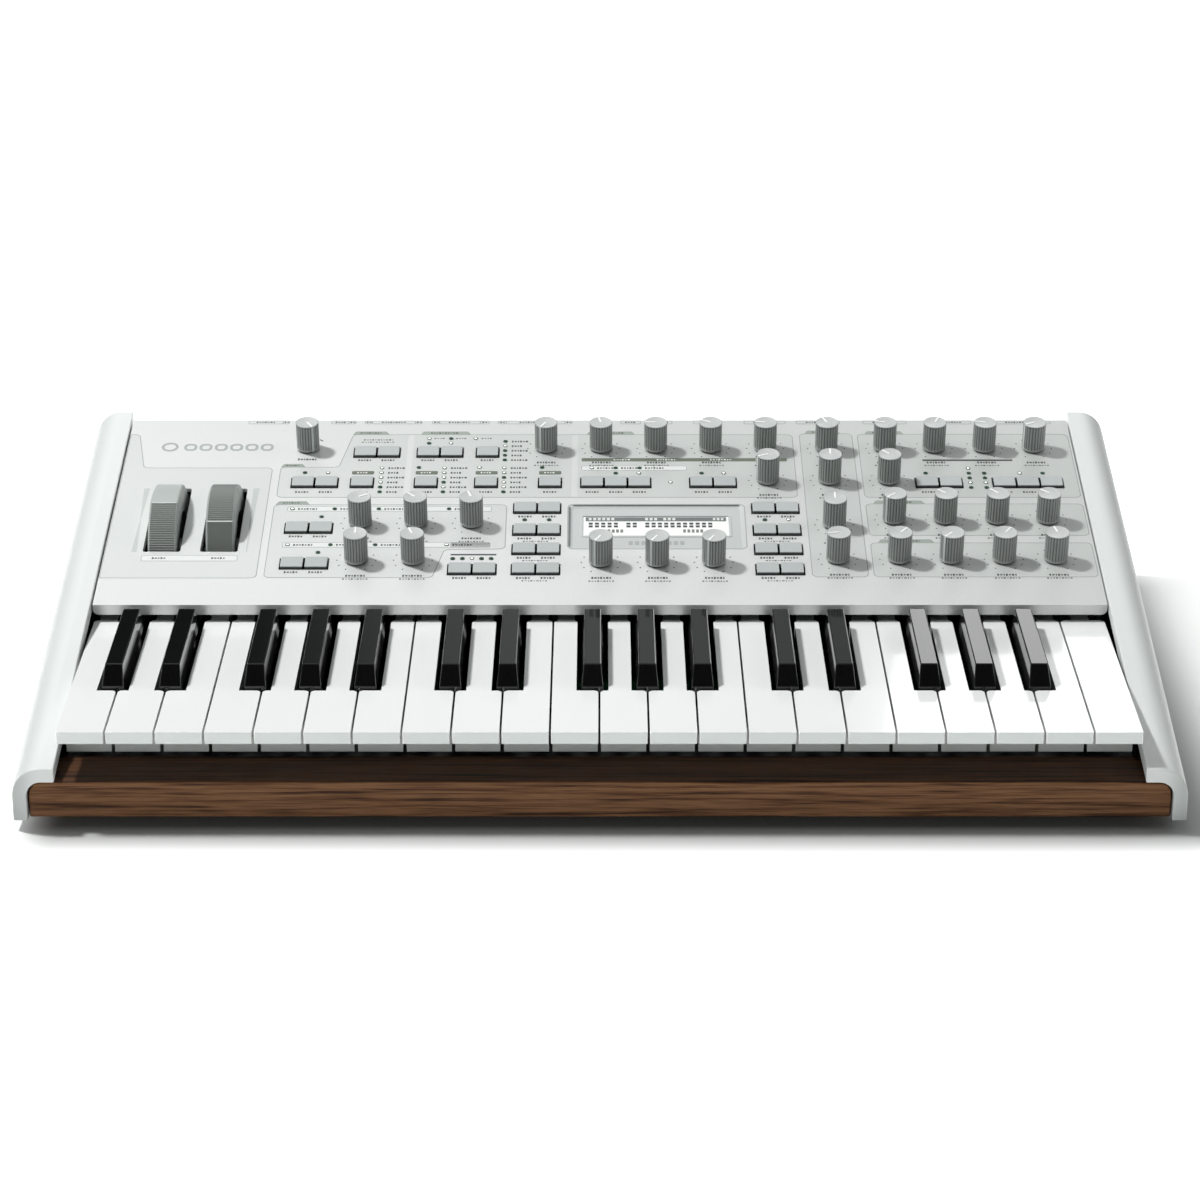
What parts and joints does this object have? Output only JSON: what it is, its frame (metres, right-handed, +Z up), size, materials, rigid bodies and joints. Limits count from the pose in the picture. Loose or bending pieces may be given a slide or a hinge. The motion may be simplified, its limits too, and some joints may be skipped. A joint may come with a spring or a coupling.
{
  "type": "keyboard synthesizer",
  "caption": "Compact keyboard synthesizer with sprung piano-style keys, a sloping control panel with knobs, buttons and display, two side wheels, metal side panels and a wooden front rail.",
  "frame": {"origin": "middle of the footprint, at floor level under the rubber feet", "axes": "+X to the player's right, +Y from the player to the back, +Z up"},
  "size_m": [0.561, 0.334, 0.1056],
  "materials": {
    "tray_metal": "satin",
    "panel_paint": "satin",
    "side_paint": "satin",
    "walnut": "oiled",
    "frame_steel": "zinc plated",
    "display_frame": "fine matt",
    "board_green": "solder mask",
    "socket_nickel": "nickel",
    "foot_rubber": "matt",
    "screw_black": "black oxide",
    "knob_grey": "fine matt",
    "button_grey": "satin",
    "wheel_grey": "fine matt",
    "key_white": "gloss",
    "key_black": "gloss"
  },
  "bodies": {
    "case": {"base_tray": "tray_metal", "top_panel": "panel_paint", "side_panel_left": "side_paint", "side_panel_right": "side_paint", "front_rail": "walnut", "rear_panel": "panel_paint", "keybed_frame": "frame_steel", "wheel_bracket": "frame_steel", "display_module": "display_frame", "circuit_boards": "board_green", "rear_sockets": "socket_nickel", "rubber_feet": "foot_rubber", "housing_screws": "screw_black", "fixed_knobs": "knob_grey"},
    "pitch_wheel": {"pitch_wheel": "wheel_grey"},
    "push_buttons": {"push_buttons": "button_grey"},
    "cutoff_knob": {"cutoff_knob": "knob_grey"},
    "mod_wheel": {"mod_wheel": "wheel_grey"},
    "resonance_knob": {"resonance_knob": "knob_grey"},
    "value_knob_1": {"value_knob_1": "knob_grey"},
    "value_knob_2": {"value_knob_2": "knob_grey"},
    "value_knob_3": {"value_knob_3": "knob_grey"},
    "volume_knob": {"volume_knob": "knob_grey"},
    "white_key_01": {"white_key_01": "key_white"},
    "black_key_01": {"black_key_01": "key_black"},
    "white_key_02": {"white_key_02": "key_white"},
    "black_key_02": {"black_key_02": "key_black"},
    "white_key_03": {"white_key_03": "key_white"},
    "white_key_04": {"white_key_04": "key_white"},
    "black_key_03": {"black_key_03": "key_black"},
    "white_key_05": {"white_key_05": "key_white"},
    "black_key_04": {"black_key_04": "key_black"},
    "white_key_06": {"white_key_06": "key_white"},
    "black_key_05": {"black_key_05": "key_black"},
    "white_key_07": {"white_key_07": "key_white"},
    "white_key_08": {"white_key_08": "key_white"},
    "black_key_06": {"black_key_06": "key_black"},
    "white_key_09": {"white_key_09": "key_white"},
    "black_key_07": {"black_key_07": "key_black"},
    "white_key_10": {"white_key_10": "key_white"},
    "white_key_11": {"white_key_11": "key_white"},
    "black_key_08": {"black_key_08": "key_black"},
    "white_key_12": {"white_key_12": "key_white"},
    "black_key_09": {"black_key_09": "key_black"},
    "white_key_13": {"white_key_13": "key_white"},
    "black_key_10": {"black_key_10": "key_black"},
    "white_key_14": {"white_key_14": "key_white"},
    "white_key_15": {"white_key_15": "key_white"},
    "black_key_11": {"black_key_11": "key_black"},
    "white_key_16": {"white_key_16": "key_white"},
    "black_key_12": {"black_key_12": "key_black"},
    "white_key_17": {"white_key_17": "key_white"},
    "white_key_18": {"white_key_18": "key_white"},
    "black_key_13": {"black_key_13": "key_black"},
    "white_key_19": {"white_key_19": "key_white"},
    "black_key_14": {"black_key_14": "key_black"},
    "white_key_20": {"white_key_20": "key_white"},
    "black_key_15": {"black_key_15": "key_black"},
    "white_key_21": {"white_key_21": "key_white"},
    "white_key_22": {"white_key_22": "key_white"}
  },
  "joints": [
    {"name": "bend_wheel_turn", "type": "hinge", "parent": "case", "child": "pitch_wheel", "pos_m": [-0.2295, 0.0618, 0.0541], "axis": [-1, 0, 0], "range_deg": [-40, 40], "stiffness_Nm_per_rad": 0.08},
    {"name": "buttons_press", "type": "slide", "parent": "case", "child": "push_buttons", "axis": [0, 0.1908, -0.9816], "range_m": [0, 0.0008], "stiffness_N_per_m": 3000, "springref_m": -0.0005},
    {"name": "cutoff_knob_turn", "type": "hinge", "parent": "case", "child": "cutoff_knob", "pos_m": [0.156, 0.13092, 0.08791], "axis": [0, 0.1908, -0.9816], "range_deg": [-75, 225]},
    {"name": "mod_wheel_turn", "type": "hinge", "parent": "case", "child": "mod_wheel", "pos_m": [-0.1995, 0.0618, 0.0541], "axis": [-1, 0, 0], "range_deg": [0, 80]},
    {"name": "resonance_knob_turn", "type": "hinge", "parent": "case", "child": "resonance_knob", "pos_m": [0.183, 0.13092, 0.08791], "axis": [0, 0.1908, -0.9816], "range_deg": [-172, 128]},
    {"name": "value_knob_1_turn", "type": "hinge", "parent": "case", "child": "value_knob_1", "pos_m": [0.0004, 0.01656, 0.06568], "axis": [0, 0.1908, -0.9816], "range_deg": [-1, 299]},
    {"name": "value_knob_2_turn", "type": "hinge", "parent": "case", "child": "value_knob_2", "pos_m": [0.0297, 0.01656, 0.06568], "axis": [0, 0.1908, -0.9816], "range_deg": [-1, 299]},
    {"name": "value_knob_3_turn", "type": "hinge", "parent": "case", "child": "value_knob_3", "pos_m": [0.0592, 0.01656, 0.06568], "axis": [0, 0.1908, -0.9816], "range_deg": [-1, 299]},
    {"name": "volume_knob_turn", "type": "hinge", "parent": "case", "child": "volume_knob", "pos_m": [-0.16, 0.13092, 0.08791], "axis": [0, 0.1908, -0.9816], "range_deg": [-299, 1]},
    {"name": "note_key_01_press", "type": "hinge", "parent": "case", "child": "white_key_01", "pos_m": [0, 0.02, 0.042], "axis": [1, 0, 0], "range_deg": [0, 3.1], "stiffness_Nm_per_rad": 1.5, "springref_deg": -2.86},
    {"name": "note_key_02_press", "type": "hinge", "parent": "case", "child": "black_key_01", "pos_m": [0, 0.02, 0.042], "axis": [1, 0, 0], "range_deg": [0, 3.1], "stiffness_Nm_per_rad": 1.5, "springref_deg": -2.86},
    {"name": "note_key_03_press", "type": "hinge", "parent": "case", "child": "white_key_02", "pos_m": [0, 0.02, 0.042], "axis": [1, 0, 0], "range_deg": [0, 3.1], "stiffness_Nm_per_rad": 1.5, "springref_deg": -2.86},
    {"name": "note_key_04_press", "type": "hinge", "parent": "case", "child": "black_key_02", "pos_m": [0, 0.02, 0.042], "axis": [1, 0, 0], "range_deg": [0, 3.1], "stiffness_Nm_per_rad": 1.5, "springref_deg": -2.86},
    {"name": "note_key_05_press", "type": "hinge", "parent": "case", "child": "white_key_03", "pos_m": [0, 0.02, 0.042], "axis": [1, 0, 0], "range_deg": [0, 3.1], "stiffness_Nm_per_rad": 1.5, "springref_deg": -2.86},
    {"name": "note_key_06_press", "type": "hinge", "parent": "case", "child": "white_key_04", "pos_m": [0, 0.02, 0.042], "axis": [1, 0, 0], "range_deg": [0, 3.1], "stiffness_Nm_per_rad": 1.5, "springref_deg": -2.86},
    {"name": "note_key_07_press", "type": "hinge", "parent": "case", "child": "black_key_03", "pos_m": [0, 0.02, 0.042], "axis": [1, 0, 0], "range_deg": [0, 3.1], "stiffness_Nm_per_rad": 1.5, "springref_deg": -2.86},
    {"name": "note_key_08_press", "type": "hinge", "parent": "case", "child": "white_key_05", "pos_m": [0, 0.02, 0.042], "axis": [1, 0, 0], "range_deg": [0, 3.1], "stiffness_Nm_per_rad": 1.5, "springref_deg": -2.86},
    {"name": "note_key_09_press", "type": "hinge", "parent": "case", "child": "black_key_04", "pos_m": [0, 0.02, 0.042], "axis": [1, 0, 0], "range_deg": [0, 3.1], "stiffness_Nm_per_rad": 1.5, "springref_deg": -2.86},
    {"name": "note_key_10_press", "type": "hinge", "parent": "case", "child": "white_key_06", "pos_m": [0, 0.02, 0.042], "axis": [1, 0, 0], "range_deg": [0, 3.1], "stiffness_Nm_per_rad": 1.5, "springref_deg": -2.86},
    {"name": "note_key_11_press", "type": "hinge", "parent": "case", "child": "black_key_05", "pos_m": [0, 0.02, 0.042], "axis": [1, 0, 0], "range_deg": [0, 3.1], "stiffness_Nm_per_rad": 1.5, "springref_deg": -2.86},
    {"name": "note_key_12_press", "type": "hinge", "parent": "case", "child": "white_key_07", "pos_m": [0, 0.02, 0.042], "axis": [1, 0, 0], "range_deg": [0, 3.1], "stiffness_Nm_per_rad": 1.5, "springref_deg": -2.86},
    {"name": "note_key_13_press", "type": "hinge", "parent": "case", "child": "white_key_08", "pos_m": [0, 0.02, 0.042], "axis": [1, 0, 0], "range_deg": [0, 3.1], "stiffness_Nm_per_rad": 1.5, "springref_deg": -2.86},
    {"name": "note_key_14_press", "type": "hinge", "parent": "case", "child": "black_key_06", "pos_m": [0, 0.02, 0.042], "axis": [1, 0, 0], "range_deg": [0, 3.1], "stiffness_Nm_per_rad": 1.5, "springref_deg": -2.86},
    {"name": "note_key_15_press", "type": "hinge", "parent": "case", "child": "white_key_09", "pos_m": [0, 0.02, 0.042], "axis": [1, 0, 0], "range_deg": [0, 3.1], "stiffness_Nm_per_rad": 1.5, "springref_deg": -2.86},
    {"name": "note_key_16_press", "type": "hinge", "parent": "case", "child": "black_key_07", "pos_m": [0, 0.02, 0.042], "axis": [1, 0, 0], "range_deg": [0, 3.1], "stiffness_Nm_per_rad": 1.5, "springref_deg": -2.86},
    {"name": "note_key_17_press", "type": "hinge", "parent": "case", "child": "white_key_10", "pos_m": [0, 0.02, 0.042], "axis": [1, 0, 0], "range_deg": [0, 3.1], "stiffness_Nm_per_rad": 1.5, "springref_deg": -2.86},
    {"name": "note_key_18_press", "type": "hinge", "parent": "case", "child": "white_key_11", "pos_m": [0, 0.02, 0.042], "axis": [1, 0, 0], "range_deg": [0, 3.1], "stiffness_Nm_per_rad": 1.5, "springref_deg": -2.86},
    {"name": "note_key_19_press", "type": "hinge", "parent": "case", "child": "black_key_08", "pos_m": [0, 0.02, 0.042], "axis": [1, 0, 0], "range_deg": [0, 3.1], "stiffness_Nm_per_rad": 1.5, "springref_deg": -2.86},
    {"name": "note_key_20_press", "type": "hinge", "parent": "case", "child": "white_key_12", "pos_m": [0, 0.02, 0.042], "axis": [1, 0, 0], "range_deg": [0, 3.1], "stiffness_Nm_per_rad": 1.5, "springref_deg": -2.86},
    {"name": "note_key_21_press", "type": "hinge", "parent": "case", "child": "black_key_09", "pos_m": [0, 0.02, 0.042], "axis": [1, 0, 0], "range_deg": [0, 3.1], "stiffness_Nm_per_rad": 1.5, "springref_deg": -2.86},
    {"name": "note_key_22_press", "type": "hinge", "parent": "case", "child": "white_key_13", "pos_m": [0, 0.02, 0.042], "axis": [1, 0, 0], "range_deg": [0, 3.1], "stiffness_Nm_per_rad": 1.5, "springref_deg": -2.86},
    {"name": "note_key_23_press", "type": "hinge", "parent": "case", "child": "black_key_10", "pos_m": [0, 0.02, 0.042], "axis": [1, 0, 0], "range_deg": [0, 3.1], "stiffness_Nm_per_rad": 1.5, "springref_deg": -2.86},
    {"name": "note_key_24_press", "type": "hinge", "parent": "case", "child": "white_key_14", "pos_m": [0, 0.02, 0.042], "axis": [1, 0, 0], "range_deg": [0, 3.1], "stiffness_Nm_per_rad": 1.5, "springref_deg": -2.86},
    {"name": "note_key_25_press", "type": "hinge", "parent": "case", "child": "white_key_15", "pos_m": [0, 0.02, 0.042], "axis": [1, 0, 0], "range_deg": [0, 3.1], "stiffness_Nm_per_rad": 1.5, "springref_deg": -2.86},
    {"name": "note_key_26_press", "type": "hinge", "parent": "case", "child": "black_key_11", "pos_m": [0, 0.02, 0.042], "axis": [1, 0, 0], "range_deg": [0, 3.1], "stiffness_Nm_per_rad": 1.5, "springref_deg": -2.86},
    {"name": "note_key_27_press", "type": "hinge", "parent": "case", "child": "white_key_16", "pos_m": [0, 0.02, 0.042], "axis": [1, 0, 0], "range_deg": [0, 3.1], "stiffness_Nm_per_rad": 1.5, "springref_deg": -2.86},
    {"name": "note_key_28_press", "type": "hinge", "parent": "case", "child": "black_key_12", "pos_m": [0, 0.02, 0.042], "axis": [1, 0, 0], "range_deg": [0, 3.1], "stiffness_Nm_per_rad": 1.5, "springref_deg": -2.86},
    {"name": "note_key_29_press", "type": "hinge", "parent": "case", "child": "white_key_17", "pos_m": [0, 0.02, 0.042], "axis": [1, 0, 0], "range_deg": [0, 3.1], "stiffness_Nm_per_rad": 1.5, "springref_deg": -2.86},
    {"name": "note_key_30_press", "type": "hinge", "parent": "case", "child": "white_key_18", "pos_m": [0, 0.02, 0.042], "axis": [1, 0, 0], "range_deg": [0, 3.1], "stiffness_Nm_per_rad": 1.5, "springref_deg": -2.86},
    {"name": "note_key_31_press", "type": "hinge", "parent": "case", "child": "black_key_13", "pos_m": [0, 0.02, 0.042], "axis": [1, 0, 0], "range_deg": [0, 3.1], "stiffness_Nm_per_rad": 1.5, "springref_deg": -2.86},
    {"name": "note_key_32_press", "type": "hinge", "parent": "case", "child": "white_key_19", "pos_m": [0, 0.02, 0.042], "axis": [1, 0, 0], "range_deg": [0, 3.1], "stiffness_Nm_per_rad": 1.5, "springref_deg": -2.86},
    {"name": "note_key_33_press", "type": "hinge", "parent": "case", "child": "black_key_14", "pos_m": [0, 0.02, 0.042], "axis": [1, 0, 0], "range_deg": [0, 3.1], "stiffness_Nm_per_rad": 1.5, "springref_deg": -2.86},
    {"name": "note_key_34_press", "type": "hinge", "parent": "case", "child": "white_key_20", "pos_m": [0, 0.02, 0.042], "axis": [1, 0, 0], "range_deg": [0, 3.1], "stiffness_Nm_per_rad": 1.5, "springref_deg": -2.86},
    {"name": "note_key_35_press", "type": "hinge", "parent": "case", "child": "black_key_15", "pos_m": [0, 0.02, 0.042], "axis": [1, 0, 0], "range_deg": [0, 3.1], "stiffness_Nm_per_rad": 1.5, "springref_deg": -2.86},
    {"name": "note_key_36_press", "type": "hinge", "parent": "case", "child": "white_key_21", "pos_m": [0, 0.02, 0.042], "axis": [1, 0, 0], "range_deg": [0, 3.1], "stiffness_Nm_per_rad": 1.5, "springref_deg": -2.86},
    {"name": "note_key_37_press", "type": "hinge", "parent": "case", "child": "white_key_22", "pos_m": [0, 0.02, 0.042], "axis": [1, 0, 0], "range_deg": [0, 3.1], "stiffness_Nm_per_rad": 1.5, "springref_deg": -2.86}
  ]
}
